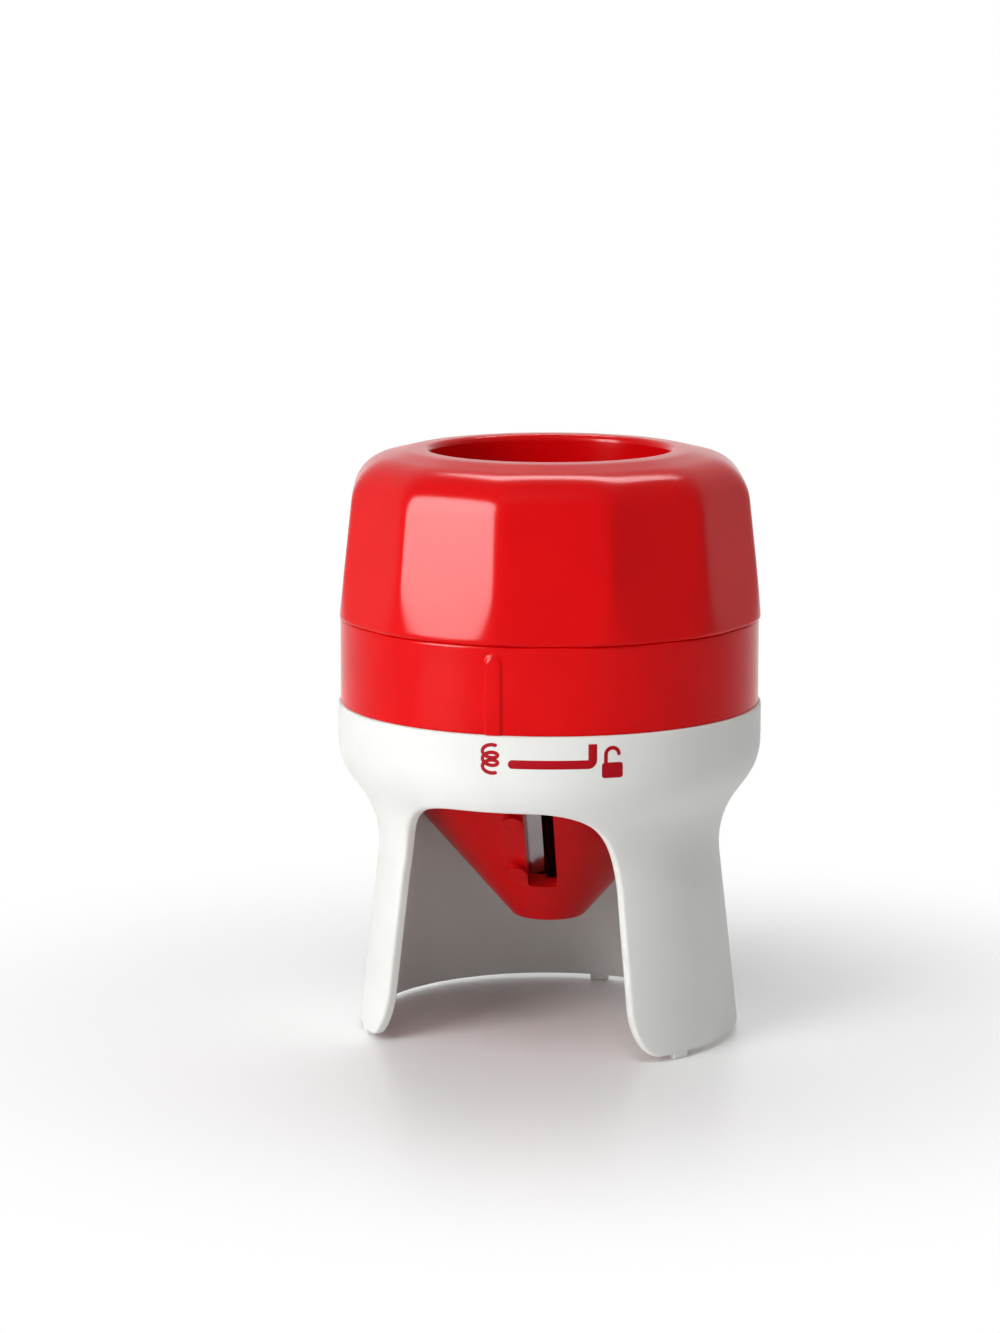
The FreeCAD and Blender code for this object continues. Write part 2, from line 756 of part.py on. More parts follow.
def knob_shell():
    """Faceted dome that the palm turns, with a rolled rim round the finger well."""
    body = new_body("knob_shell")
    wall = size.knob_wall
    head_in = shoulder_up - wall
    turned(body, "dome", [
        (flange_r + 0.1, 0),
        (lip_r, 0, size.lip_round),
        (swell_r, size.swell_up, size.knob_round * 5),
        (shoulder_r, shoulder_up, size.knob_round),
        (size.well_r, size.knob_tall, size.well_rim),
        (size.well_r, hem_low),
        (hem_r, hem_low),
        (hem_r, size.knob_tall - wall * 1.2),
        (shoulder_r - wall * 1.7, head_in, size.knob_round - wall),
        (flange_r - 0.5, size.web_thick + 0.1),
        (flange_r + 0.1, size.web_thick + 0.1),
    ])
    over = size.knob_tall * 1.4
    beyond = lip_r * 1.4
    outside = outline(body, "facet_side", "XZ_Plane", [
        (facet_foot_r, 0),
        (facet_foot_r - over * tangent(size.facet_lean_angle), over),
        (beyond, over),
        (beyond, 0),
    ])
    facet = feature(body, "Pocket", "facet", outside, Midplane=True, Length=lip_r * 3)
    around(body, "facets", facet, FACETS)
    body.Placement = holder_place()
    return body


def holder_core():
    """Finger well, flange, guide band and spigot in one moulding, ribbed underneath."""
    body = new_body("holder_core")
    web = size.web_thick
    band_in = band_r - size.band_wall
    turned(body, "core", [
        (size.well_r, hem_low),
        (hem_r, hem_low),
        (spigot_r + size.web_flare, web),
        (flange_r, web),
        (flange_r, 0),
        (band_r, 0),
        (band_r, -size.band_tall, size.band_wall * 0.3),
        (band_in, -size.band_tall),
        (band_in, 0),
        (spigot_r, 0),
        (spigot_r, crown_top),
        (spigot_bore, crown_top),
    ])
    rib_side = outline(body, "rib_side", "XZ_Plane", [
        (spigot_r - 0.5, web / 2),
        (spigot_r - 0.5, -size.band_tall * 0.8),
        (band_in + 0.5, -size.band_tall * 0.5),
        (band_in + 0.5, web / 2),
    ])
    rib = feature(body, "Pad", "rib", rib_side, Midplane=True, Length=size.rib_thick)
    around(body, "ribs", rib, CORE_RIBS)
    body.Placement = holder_place()
    return body


def prong_carrier():
    """Plug that closes the spigot, with a tapered crown that bites and a floor for the prongs."""
    body = new_body("prong_carrier")
    bore = size.spike_r + size.turn_fit
    plug = spigot_bore - size.turn_fit
    plug_in = plug - size.plug_wall
    crown_in = crown_low_r - size.crown_wall
    turned(body, "carrier", [
        (bore, plug_top),
        (size.boss_r, plug_top),
        (size.boss_r, floor_top),
        (plug_in, floor_top),
        (plug_in, plug_top),
        (plug, plug_top),
        (plug, crown_top),
        (spigot_r, crown_top),
        (crown_low_r, crown_low, 0.5),
        (crown_in, crown_low),
        (plug_in, floor_low),
        (size.boss_r, floor_low),
        (size.boss_r, floor_low - size.boss_low),
        (bore, floor_low - size.boss_low),
    ])
    lean = size.crown_tall / 3
    half = size.slit_w / 2
    outward = FreeCAD.Placement(FreeCAD.Vector(0, 0, (crown_in - 1).number), FreeCAD.Rotation())
    slit_side = outline(body, "slit_side", "XZ_Plane", [
        (-lean - half, crown_low - 1),
        (-lean + half, crown_low - 1),
        (lean + half, crown_low + size.crown_tall * 0.7),
        (lean - half, crown_low + size.crown_tall * 0.7),
    ], outward)
    slit = feature(body, "Pocket", "slit", slit_side, Reversed=True, Length=size.crown_wall * 3)
    around(body, "slits", slit, CROWN_SLITS)
    root = crown_low + 0.8
    inner = FreeCAD.Placement(FreeCAD.Vector(0, 0, (crown_in + 0.3).number), FreeCAD.Rotation())
    spur_in = size.spur_w
    spur_out = size.spur_w * 2
    for name, side in (("left", -1), ("right", 1)):
        spur_side = outline(body, f"spur_{name}_side", "XZ_Plane", [
            (spur_in * side, root),
            ((spur_in + spur_out) / 2 * side, crown_low - size.spur_tall),
            (spur_out * side, root),
        ], inner)
        spur = feature(body, "Pad", f"spur_{name}", spur_side, Length=size.crown_wall * 0.6)
        around(body, f"spurs_{name}", spur, CROWN_SLITS)
    hole = disc(body, "prong_hole_circle", "XY_Plane", size.prong_circle, 0, size.prong_r + 0.01,
                turned_by(0, floor_top))
    prong_hole = feature(body, "Pocket", "prong_hole", hole, Length=size.floor_thick * 1.5)
    around(body, "prong_holes", prong_hole, PRONGS)
    body.Placement = holder_place()
    return body


def prong(index):
    """Steel prong with a flat head on the carrier's floor and a ground point."""
    body = new_body(f"prong_{index + 1}")
    tip = crown_low - size.prong_reach
    turned(body, "pin", [
        (0, tip),
        (size.prong_r, tip + size.prong_r * 4),
        (size.prong_r, floor_top),
        (size.prong_head_r, floor_top),
        (size.prong_head_r, floor_top + size.prong_head, 0.3),
        (0, floor_top + size.prong_head),
    ])
    out = FreeCAD.Placement(FreeCAD.Vector(size.prong_circle.number, 0, 0), FreeCAD.Rotation())
    body.Placement = holder_place(index * 360 / PRONGS).multiply(out)
    return body


def centre_spike():
    """Steel spike on the axis: the food is centred on it and the holder turns about it."""
    body = new_body("centre_spike")
    tip = crown_low - size.spike_reach
    turned(body, "spike", [
        (0, tip),
        (size.spike_r, tip + size.spike_r * 4),
        (size.spike_r, plug_top),
        (size.spike_head_r, plug_top),
        (size.spike_head_r, plug_top + size.prong_head * 1.4, 0.5),
        (0, plug_top + size.prong_head * 1.4),
    ])
    body.Placement = holder_place()
    return body


parts = [stand(), guide_ring(), cutter_cone(), slicing_blade(), julienne_comb()]
parts += [blade_screw("blade_screw_lower", -1), blade_screw("blade_screw_upper", 1)]
parts += [knob_shell(), holder_core(), prong_carrier(), centre_spike()]
parts += [prong(index) for index in range(PRONGS)]
doc.recompute()

for item in doc.Objects:
    if any(word in ("Invalid", "Error") for word in item.State):
        raise RuntimeError(f"{item.Name} did not build: {item.State}")
for body in parts:
    shape = body.Shape
    if shape.isNull() or not shape.isValid() or len(shape.Solids) != 1:
        raise RuntimeError(f"{body.Label} is not one valid solid")
    print(f"{body.Label}: {shape.Volume:.0f} cubic mm, {len(shape.Faces)} faces")
os.makedirs("parts", exist_ok=True)
for body in parts:
    body.Shape.exportStep(f"parts/{body.Label}.step")
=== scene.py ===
# %% [markdown]
# # Dressing a handheld spiralizer
# The tool is a white bell with one arch in its side. A red ring turns in the bell's collar and holds
# the cutting cone, and a faceted red knob with steel prongs is pressed down and turned above it.
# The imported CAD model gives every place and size. This lesson adds what CAD leaves plain: soft moulded
# edges, the knob's blended facets, the printed marks, the screw heads and every finish.

import bmesh
import bpy
import numpy as np
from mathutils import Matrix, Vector


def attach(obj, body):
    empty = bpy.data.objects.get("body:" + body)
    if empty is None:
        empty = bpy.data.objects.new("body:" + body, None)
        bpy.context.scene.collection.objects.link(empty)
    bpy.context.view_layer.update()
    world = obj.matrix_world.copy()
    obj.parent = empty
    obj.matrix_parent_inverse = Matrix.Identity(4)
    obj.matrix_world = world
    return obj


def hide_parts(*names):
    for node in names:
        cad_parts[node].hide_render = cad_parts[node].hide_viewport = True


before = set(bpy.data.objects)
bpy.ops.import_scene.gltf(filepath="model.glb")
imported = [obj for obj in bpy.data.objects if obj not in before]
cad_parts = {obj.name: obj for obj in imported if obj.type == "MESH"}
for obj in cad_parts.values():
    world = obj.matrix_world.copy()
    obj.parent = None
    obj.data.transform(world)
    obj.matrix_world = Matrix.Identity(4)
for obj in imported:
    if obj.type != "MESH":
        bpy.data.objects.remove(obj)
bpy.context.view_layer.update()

# %% [markdown]
# ## From an array to a mesh
# Each new piece is a grid of points worked out with numpy: rows run along a profile and columns run
# round the axis or along a path. Neighbouring points make a face, and a closed profile wraps its last
# row to its first. A row that shrinks to one point is merged, so a pole stays closed.

# %% Grids become pieces
MM, MERGE_M = 0.001, 1e-7


def grid_faces(rows, columns, wrap_rows, wrap_columns):
    """Corner numbers of each face: a point, its right, its upper right and its upper neighbour."""
    row = np.arange(rows if wrap_rows else rows - 1)
    column = np.arange(columns if wrap_columns else columns - 1)
    row, column = np.meshgrid(row, column, indexing="ij")
    up, right = (row + 1) % rows, (column + 1) % columns
    corners = [row * columns + column, row * columns + right, up * columns + right, up * columns + column]
    return np.stack(corners, axis=-1).reshape(-1, 4)


def grid(points, wrap_rows=True, wrap_columns=True):
    """Points and faces of one closed grid, turned so that its volume, and so its faces, are outward."""
    rows, columns = points.shape[:2]
    flat = points.reshape(-1, 3)
    faces = grid_faces(rows, columns, wrap_rows, wrap_columns)
    a, b, c, d = (flat[faces[:, k]] for k in range(4))
    volume = np.sum(a * np.cross(b, c)) + np.sum(a * np.cross(c, d))
    return flat, faces if volume > 0 else faces[:, ::-1]


def piece(name, grids, body, replaces=(), sharp=40):
    """One object in metres from grids in millimetres, riding on a body."""
    mesh = bpy.data.meshes.new(name)
    starts = np.cumsum([0] + [len(points) for points, _ in grids])
    points = np.concatenate([points for points, _ in grids]) * MM
    faces = np.concatenate([faces + start for (_, faces), start in zip(grids, starts)])
    mesh.vertices.add(len(points))
    mesh.vertices.foreach_set("co", points.ravel())
    mesh.loops.add(faces.size)
    mesh.loops.foreach_set("vertex_index", faces.ravel())
    mesh.polygons.add(len(faces))
    mesh.polygons.foreach_set("loop_start", np.arange(0, faces.size, 4))
    mesh.polygons.foreach_set("loop_total", np.full(len(faces), 4))
    mesh.update(calc_edges=True)
    solid = bmesh.new()
    solid.from_mesh(mesh)
    bmesh.ops.remove_doubles(solid, verts=solid.verts, dist=MERGE_M)
    solid.to_mesh(mesh)
    solid.free()
    mesh.shade_smooth()
    mesh.set_sharp_from_angle(angle=np.radians(sharp))
    thing = bpy.data.objects.new(name, mesh)
    bpy.context.collection.objects.link(thing)
    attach(thing, body)
    if replaces:
        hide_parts(*replaces)
    print(f"{name}: {len(mesh.polygons)} faces")


print("faces of a 3 by 4 grid that closes both ways:", len(grid_faces(3, 4, True, True)))

# %% [markdown]
# ## Profiles
# A moulding has no knife-sharp corner. A profile is written as corners, and a third number on a corner
# is the radius of the arc that replaces it. The result is then divided evenly, so that the smooth
# shading of a long wall isn't bent by the small faces of the arc beside it.

# %% Rounded profiles and turned grids
def rounded(corners, steps=7):
    """Corners to a line: an arc starts and ends where both sides touch a circle of its radius."""
    line = []
    for number, corner in enumerate(corners):
        here = np.array(corner[:2], float)
        if len(corner) < 3:
            line.append(here[None])
            continue
        before = np.array(corners[number - 1][:2], float) - here
        after = np.array(corners[(number + 1) % len(corners)][:2], float) - here
        before /= np.linalg.norm(before)
        after /= np.linalg.norm(after)
        half = np.arccos(np.clip(before @ after, -1, 1)) / 2
        middle = here + (before + after) / np.linalg.norm(before + after) * corner[2] / np.sin(half)
        first = here + before * corner[2] / np.tan(half) - middle
        last = here + after * corner[2] / np.tan(half) - middle
        sweep = np.pi - 2 * half
        share = np.linspace(0, 1, steps)[:, None]
        arc = (np.sin((1 - share) * sweep) * first + np.sin(share * sweep) * last) / np.sin(sweep)
        line.append(middle + arc)
    return np.concatenate(line)


SAME_MM, CROWDED_SHARE = 1e-6, 0.3


def divided(line, step, closed=True):
    """Adds points at even distances along a line and keeps its own points.

    An added point is dropped where it would lie closer to an own one than a share of the step.
    """
    if closed:
        line = np.concatenate([line, line[:1]])
    length = np.concatenate([[0], np.cumsum(np.hypot(*np.diff(line, axis=0).T))])
    own = length[np.concatenate([[True], np.diff(length) > SAME_MM])]
    gaps = np.arange(step / 2, length[-1], step)
    near = np.abs(gaps[:, None] - own[None]).min(axis=1) < step * CROWDED_SHARE
    along = np.sort(np.concatenate([own, gaps[~near]]))
    if closed:
        along = along[:-1]
    return np.stack([np.interp(along, length, line[:, k]) for k in (0, 1)], axis=-1)


def around(radius, height, angle):
    """Points at an angle from the arch's middle (-Y) towards +X."""
    radius, height, angle = np.broadcast_arrays(radius, height, angle)
    return np.stack([radius * np.sin(angle), -radius * np.cos(angle), height], axis=-1)


def superellipse(turn, power):
    """Cosine and sine, each raised to a power with its sign kept: a circle that swells to a square."""
    side, rise = np.cos(turn), np.sin(turn)
    return np.sign(side) * np.abs(side) ** power, np.sign(rise) * np.abs(rise) ** power


BLOCK_SQUARE, BLOCK_EDGE = 0.35, 0.25


def curved_block(r0, r1, z0, z1, degrees, width):
    """A small rib that follows the wall: a superellipse carried along an arc and closed at both ends.

    Over the last bit of the arc the section shrinks like a quarter circle, and its end shrinks to a
    point.
    """
    side, rise = superellipse(np.linspace(0, 2 * np.pi, 24, endpoint=False), BLOCK_SQUARE)
    quarter = np.linspace(0, np.pi / 2, 6)
    start, swell = BLOCK_EDGE * (1 - np.cos(quarter)), BLOCK_EDGE * np.sin(quarter)
    level = np.linspace(BLOCK_EDGE, width - BLOCK_EDGE, 5)[1:-1]
    along = np.concatenate([[0], start, level, width - start[::-1], [width]])
    slim = np.concatenate([[0], swell, np.full(level.shape, BLOCK_EDGE), swell[::-1], [0]]) - BLOCK_EDGE
    deep, tall = (r1 - r0) / 2 + slim, (z1 - z0) / 2 + slim
    deep[[0, -1]] = tall[[0, -1]] = 0
    radius = (r0 + r1) / 2 + side * deep[:, None]
    height = (z0 + z1) / 2 + rise * tall[:, None]
    angle = np.radians(degrees) + (along[:, None] - width / 2) / r1
    return grid(around(radius, height, angle), wrap_rows=False)


print("a rounded square corner has", len(rounded([(0, 0), (1, 0, 0.2), (1, 1)])) - 2, "points")

# %% [markdown]
# ## The stand
# The real stand is one white moulding: a collar, a soft shoulder, a waist and a skirt that flares to the
# foot, with one arch in front. A Boolean would cut the arch but leave a ragged edge that catches no
# light. Here the wall itself follows the arch: the lowest row of the grid runs along the foot, up one
# leg, over the arch and down again, and the rows above it spread out to the collar. The edge is then
# rounded by rows that step in over the thickness of the wall.

# %% The bell's two walls
COLLAR_R, COLLAR_TOP, COLLAR_LOW = 45.6, 72.0, 59.6
WAIST_R, WAIST_UP, FOOT_R, FOOT_GAP, WALL = 36.1, 47.0, 41.2, 1.2, 2.4
# Radii of the arcs at the waist and the shoulder, outside and inside
WAIST_ARC, SHOULDER_ARC, WAIST_ARC_IN, SHOULDER_ARC_IN = 20, 14, 22.4, 4.9
ARC_POINTS = 24

outer_line = rounded([(FOOT_R, FOOT_GAP), (WAIST_R, WAIST_UP, WAIST_ARC),
                      (COLLAR_R, COLLAR_LOW, SHOULDER_ARC), (COLLAR_R, COLLAR_TOP)], ARC_POINTS)
inner_line = rounded([(FOOT_R - WALL, FOOT_GAP), (WAIST_R - WALL, WAIST_UP + WALL / 5, WAIST_ARC_IN),
                      (COLLAR_R - WALL, COLLAR_LOW + WALL / 3, SHOULDER_ARC_IN),
                      (COLLAR_R - WALL, COLLAR_TOP)], ARC_POINTS)


def outer_wall(height):
    """Radius of the outside at a height, read off its profile."""
    return np.interp(height, outer_line[:, 1], outer_line[:, 0])


def inner_wall(height):
    """Radius of the inside at a height, read off its profile."""
    return np.interp(height, inner_line[:, 1], inner_line[:, 0])


print(f"wall at the waist: {outer_wall(WAIST_UP) - inner_wall(WAIST_UP):.2f} mm")

# %% [markdown]
# The arch is drawn flat, on a pane that stands upright through its two feet, and each point is then
# carried straight out from the axis to the wall. Two arcs round the arch's head, and two more turn the
# legs into the foot. The line goes on round the back of the foot, so that it closes.

# %% The line along the foot and the arch
ARCH_TOP, ARCH_HEAD, ARCH_FOOT, ARCH_CORNER, LEG_CORNER = 55.0, 39.5, 43.0, 20.0, 11.0
ARCH_POINTS, BACK_POINTS, HEEL_SHARE = 300, 180, 1.4

plane = FOOT_R * np.cos(np.radians(ARCH_FOOT))
head = plane * np.tan(np.radians(ARCH_HEAD))
foot = plane * np.tan(np.radians(ARCH_FOOT))
heel = foot + LEG_CORNER * HEEL_SHARE
arch = rounded([(-heel, FOOT_GAP), (-foot, FOOT_GAP, LEG_CORNER), (-head, ARCH_TOP, ARCH_CORNER),
                (head, ARCH_TOP, ARCH_CORNER), (foot, FOOT_GAP, LEG_CORNER), (heel, FOOT_GAP)], ARC_POINTS)
arch_length = np.concatenate([[0], np.cumsum(np.hypot(*np.diff(arch, axis=0).T))])
arch_step = np.linspace(0, arch_length[-1], ARCH_POINTS)
arch_turn = np.arctan(np.interp(arch_step, arch_length, arch[:, 0]) / plane)
arch_up = np.interp(arch_step, arch_length, arch[:, 1])
back_turn = np.linspace(arch_turn[-1], 2 * np.pi + arch_turn[0], BACK_POINTS + 2)[1:-1]
edge_turn = np.concatenate([arch_turn, back_turn])
edge_up = np.concatenate([arch_up, np.full(back_turn.shape, FOOT_GAP)])
print(f"edge line: {len(edge_turn)} points, {ARCH_POINTS} of them over the arch and its heels")

# %% [markdown]
# Columns that rose straight from this line would crowd together above the legs. So each point has a fan
# angle, which grows down the leg, and its column leans towards that angle on its way to the shoulder.
# Beside the line the rows keep a set distance from it, because the rounded edge needs even rows.

# %% How the columns fan out
SPREAD_UP, FAN, FAN_POWER = 58.5, np.radians(20), 0.8

fan = FAN * np.clip((ARCH_TOP - arch_up) / ARCH_TOP, 0, 1) ** FAN_POWER
fan_turn = arch_turn + fan * np.sign(arch_turn)
gap = (2 * np.pi + fan_turn[0] - fan_turn[-1]) / (BACK_POINTS + 1)
back_fan = np.linspace(fan_turn[-1] + gap, 2 * np.pi + fan_turn[0] - gap, BACK_POINTS)
fan_turn = np.concatenate([fan_turn, back_fan])

# Across the edge: a right angle to the line, measured on the wall
along = (np.roll(edge_turn, -1) - np.roll(edge_turn, 1) + np.pi) % (2 * np.pi) - np.pi
along = along * outer_wall(edge_up)
rise = np.roll(edge_up, -1) - np.roll(edge_up, 1)
length = np.hypot(along, rise)
across_turn = -rise / length / outer_wall(edge_up)
across_up = along / length
print(f"columns lean by up to {np.degrees(fan.max()):.0f} degrees")

# %% The stand's grid
EDGE_ROUND, INNER_ROUND, EDGE_BAND, ROW_POWER = 0.75, 0.4, 2.0, 1.15
RIM_ROUND, RIM_ROUND_IN = 0.5, 0.25


def inset(distance):
    """The edge line moved into the wall by a distance."""
    return edge_turn + across_turn * distance, edge_up + across_up * distance


def wall_rows(wall, start, from_edge, to_collar):
    """Rows of one wall: near the edge they keep a set distance, and above it they spread evenly."""
    near = [inset(distance) for distance in (start, (start + EDGE_BAND) / 2)]
    rows = [around(wall(up), up, turn) for turn, up in near]
    turn, up = inset(EDGE_BAND)
    for share in np.linspace(0, 1, from_edge) ** ROW_POWER:
        height = up + (SPREAD_UP - up) * share
        rows.append(around(wall(height), height, turn + (fan_turn - turn) * share))
    for height in np.linspace(SPREAD_UP, COLLAR_TOP - RIM_ROUND, to_collar)[1:]:
        rows.append(around(wall(height), height, fan_turn))
    return rows


def stand_grid():
    """The stand's whole section: outer wall, top of the collar, inner wall and rounded lower edge."""
    outside = wall_rows(outer_wall, EDGE_ROUND, 34, 14)
    inside = wall_rows(inner_wall, INNER_ROUND, 22, 8)
    quarter = np.linspace(0, np.pi / 2, 6)
    top, edge = [], []
    for q in quarter[1:]:
        height = COLLAR_TOP - RIM_ROUND + RIM_ROUND * np.sin(q)
        top.append(around(COLLAR_R - RIM_ROUND * (1 - np.cos(q)), height, fan_turn))
    for q in quarter:
        height = COLLAR_TOP - RIM_ROUND_IN + RIM_ROUND_IN * np.cos(q)
        top.append(around(COLLAR_R - WALL + RIM_ROUND_IN * (1 - np.sin(q)), height, fan_turn))
    for q in quarter[:-1]:
        turn, up = inset(INNER_ROUND * (1 - np.sin(q)))
        edge.append(around(inner_wall(up) + INNER_ROUND * (1 - np.cos(q)), up, turn))
    turn, up = inset(0)
    low = inner_wall(up) + INNER_ROUND
    for share in np.linspace(0, 1, 5):
        edge.append(around(low + (outer_wall(up) - EDGE_ROUND - low) * share, up, turn))
    for q in quarter[::-1][1:-1]:
        turn, up = inset(EDGE_ROUND * (1 - np.sin(q)))
        edge.append(around(outer_wall(up) - EDGE_ROUND * (1 - np.cos(q)), up, turn))
    return grid(np.stack(outside + top + inside[::-1] + edge))


bell = stand_grid()
print("stand's grid:", len(bell[0]), "points")

# %% [markdown]
# Three lugs inside the collar hold the ring by its slots, and three pads under the foot carry the tool.
# They are ribs of the same moulding, so they overlap the wall and belong to the stand's own piece.

# %% The stand with its lugs and pads
THIRDS = (180, -60, 60)
LUG_REACH, LUG_SINK, LUG_LOW, LUG_TOP, LUG_WIDE = 1.9, 0.8, 64.5, 67.5, 4.0
PAD_INSET, PAD_TOP, PAD_WIDE = 0.2, 1.8, 4.0
BORE, SOLE = COLLAR_R - WALL, FOOT_R - WALL

lugs = [curved_block(BORE - LUG_REACH, BORE + LUG_SINK, LUG_LOW, LUG_TOP, degrees, LUG_WIDE)
        for degrees in THIRDS]
pads = [curved_block(SOLE + PAD_INSET, FOOT_R - PAD_INSET, 0, PAD_TOP, degrees, PAD_WIDE)
        for degrees in THIRDS]
piece("bell_stand", [bell] + lugs + pads, "stand", ["base_stand"])

# %% [markdown]
# ## The guide ring
# The ring is a turned moulding, so one profile carried round the axis gives it. Its rim has a small step
# on the inside, which shows as a double line of light. The index rib isn't a separate block: the wall
# itself swells by 0.6 mm inside a long rounded patch, and the columns crowd there to draw its sides.

# %% The ring and its index rib
RING_R, RING_TOP, RING_BORE = 45.0, 90.5, 43.0
STEP_OUT_R, STEP_IN_R, STEP_DOWN = 44.05, 43.75, 0.35
SEAT_UP, SEAT_BORE, SKIRT_R, SKIRT_LOW = 73.2, 41.0, 43.15, 62.5
RIB_AT, RIB_WIDE, RIB_OUT, RIB_TOP, RIB_SIDE = 2.0, 3.6, 0.6, 88.5, 0.75
CROWD, CROWD_COLUMNS, RING_COLUMNS, RING_SKIN, RING_STEP = 3.4, 60, 360, 0.36, 0.5
KEY_IN, KEY_OUT, KEY_SINK, KEY_TALL, KEY_WIDE = 41.7, 43.5, 0.1, 2.6, 4.8


def ring_grid():
    """Turned profile plus a swell: height falls smoothly with the distance from the rib's middle line."""
    line = divided(rounded([
        (RING_R, RING_TOP, 0.6), (STEP_OUT_R, RING_TOP, 0.15), (STEP_IN_R, RING_TOP - STEP_DOWN, 0.15),
        (RING_BORE, RING_TOP - STEP_DOWN, 0.3), (RING_BORE, SEAT_UP), (SEAT_BORE, SEAT_UP),
        (SEAT_BORE, SKIRT_LOW), (SKIRT_R, SKIRT_LOW, 0.3), (SKIRT_R, COLLAR_TOP),
        (RING_R, COLLAR_TOP, 0.35),
    ]), RING_STEP)
    middle = np.radians(RIB_AT)
    close = middle + np.linspace(-CROWD, CROWD, CROWD_COLUMNS) / RING_R
    rest = np.linspace(close[-1], close[0] + 2 * np.pi, RING_COLUMNS + 2)[1:-1]
    angle = np.concatenate([close, rest])
    radius = np.repeat(line[:, :1], len(angle), axis=1)
    height = np.repeat(line[:, 1:], len(angle), axis=1)
    beside = ((angle - middle + np.pi) % (2 * np.pi) - np.pi) * RING_R
    above = np.maximum(height - (RIB_TOP - RIB_WIDE / 2), 0)
    distance = np.hypot(beside[None], above)
    swell = np.clip((RIB_WIDE / 2 + RIB_SIDE / 3 - distance) / RIB_SIDE, 0, 1)
    swell = swell * swell * (3 - 2 * swell)
    outside = radius > RING_R - RING_SKIN
    return grid(around(radius + RIB_OUT * swell * outside, height, angle[None]))


keys = [curved_block(KEY_IN, KEY_OUT, SEAT_UP - KEY_SINK, SEAT_UP + KEY_TALL, degrees, KEY_WIDE)
        for degrees in (120, 240, 0)]
piece("turning_ring", [ring_grid()] + keys, "cutter", ["guide_ring"])

# %% [markdown]
# ## The knob
# The knob is a dome with twelve flat facets that melt into each other. Cutting a dome with planes and
# bevelling the edges would work, but the bevels would meet badly at the shoulder. A soft maximum is
# simpler: each facet and the round dome give a distance, the largest distance wins, and near an edge the
# two are blended. The surface is where the blended distance is zero, and it is found by halving.

# %% A soft maximum of one dome and twelve facets
FACETS, FACET_TURN, SOFT = 12, 18.0, 0.25
HEM_R, KNOB_R, BELLY_R, BELLY_UP = 44.7, 45.9, 45.7, 13.0
SHOULDER_R, SHOULDER_UP, BROW_R, BROW_UP, CROWN_R, CROWN_UP = 43.2, 33.2, 30.6, 35.9, 20, 36.05
FACET_LOW_R, FACET_R, FACET_HEAD_R, FACET_HEAD_UP, FACET_IN_R, FACET_IN_UP = 45.3, 45.1, 41.5, 33.0, 10, 41.6
KNOB_ARC_POINTS, FENCE_POINTS = 40, 1500

# Both profiles give a radius, a height above the ring's rim and the radius of the corner's arc
dome_line = rounded([
    (HEM_R, 0), (KNOB_R, 0, 1.1), (BELLY_R, BELLY_UP, 60), (SHOULDER_R, SHOULDER_UP, 12),
    (BROW_R, BROW_UP, 8), (CROWN_R, CROWN_UP),
], KNOB_ARC_POINTS)
facet_line = rounded([
    (FACET_LOW_R, -2), (FACET_R, 0), (FACET_HEAD_R, FACET_HEAD_UP, 10), (FACET_IN_R, FACET_IN_UP),
], KNOB_ARC_POINTS)


def fence(line, radius, height):
    """Distance outside a profile: how far a point's radius passes the line, times the line's lean."""
    own = np.linspace(line[:, 1].min(), line[:, 1].max(), FENCE_POINTS)
    reach = np.interp(own, line[:, 1], line[:, 0])
    lean = 1 / np.sqrt(1 + np.gradient(reach, own) ** 2)
    return (radius - np.interp(height, own, reach)) * np.interp(height, own, lean)


def knob_distance(radius, height, angle):
    """Soft maximum: the logarithm of the summed exponentials of all distances."""
    total = np.exp(fence(dome_line, radius, height) / SOFT)
    facet = 2 * np.pi / FACETS
    nearest = np.round(angle / facet) * facet
    for step in (-1, 0, 1):
        beside = angle - nearest + step * facet
        total = total + np.exp(fence(facet_line, radius * np.cos(beside), height) / SOFT)
    return SOFT * np.log(total)


print(f"at the belly a facet lies {knob_distance(KNOB_R, BELLY_UP, 0.0):.2f} mm inside the widest radius")

# %% [markdown]
# Rays fan out from a ring inside the wall, from straight up to down at the hem. Each ray leaves the
# knob once, so halving the span between a point inside and a point outside closes in on the surface. The
# rim of the finger well, the hem and the shell's hidden inside are plain turned rows that close the loop.

# %% The faceted knob
WELL_R, WELL_LOW, RIM_ROLL = 25.6, 32.6, 1.4
RAY_UP, RAY_NEAR, RAY_FAR, HALVINGS = 10, 2.0, 40.0, 36
KNOB_COLUMNS, KNOB_ROWS, INSIDE_STEP = 648, 110, 2.0
# The shell's inside from the well's hem up, over and down to the knob's hem: radius and height
SHELL_INSIDE = [(WELL_R, WELL_LOW + 0.1), (WELL_R, WELL_LOW), (27.6, WELL_LOW), (27.6, 33.8), (36.0, 31.6),
                (39.3, 27.0), (43.4, 2.3), (44.0, 2.3), (44.0, 0.0)]


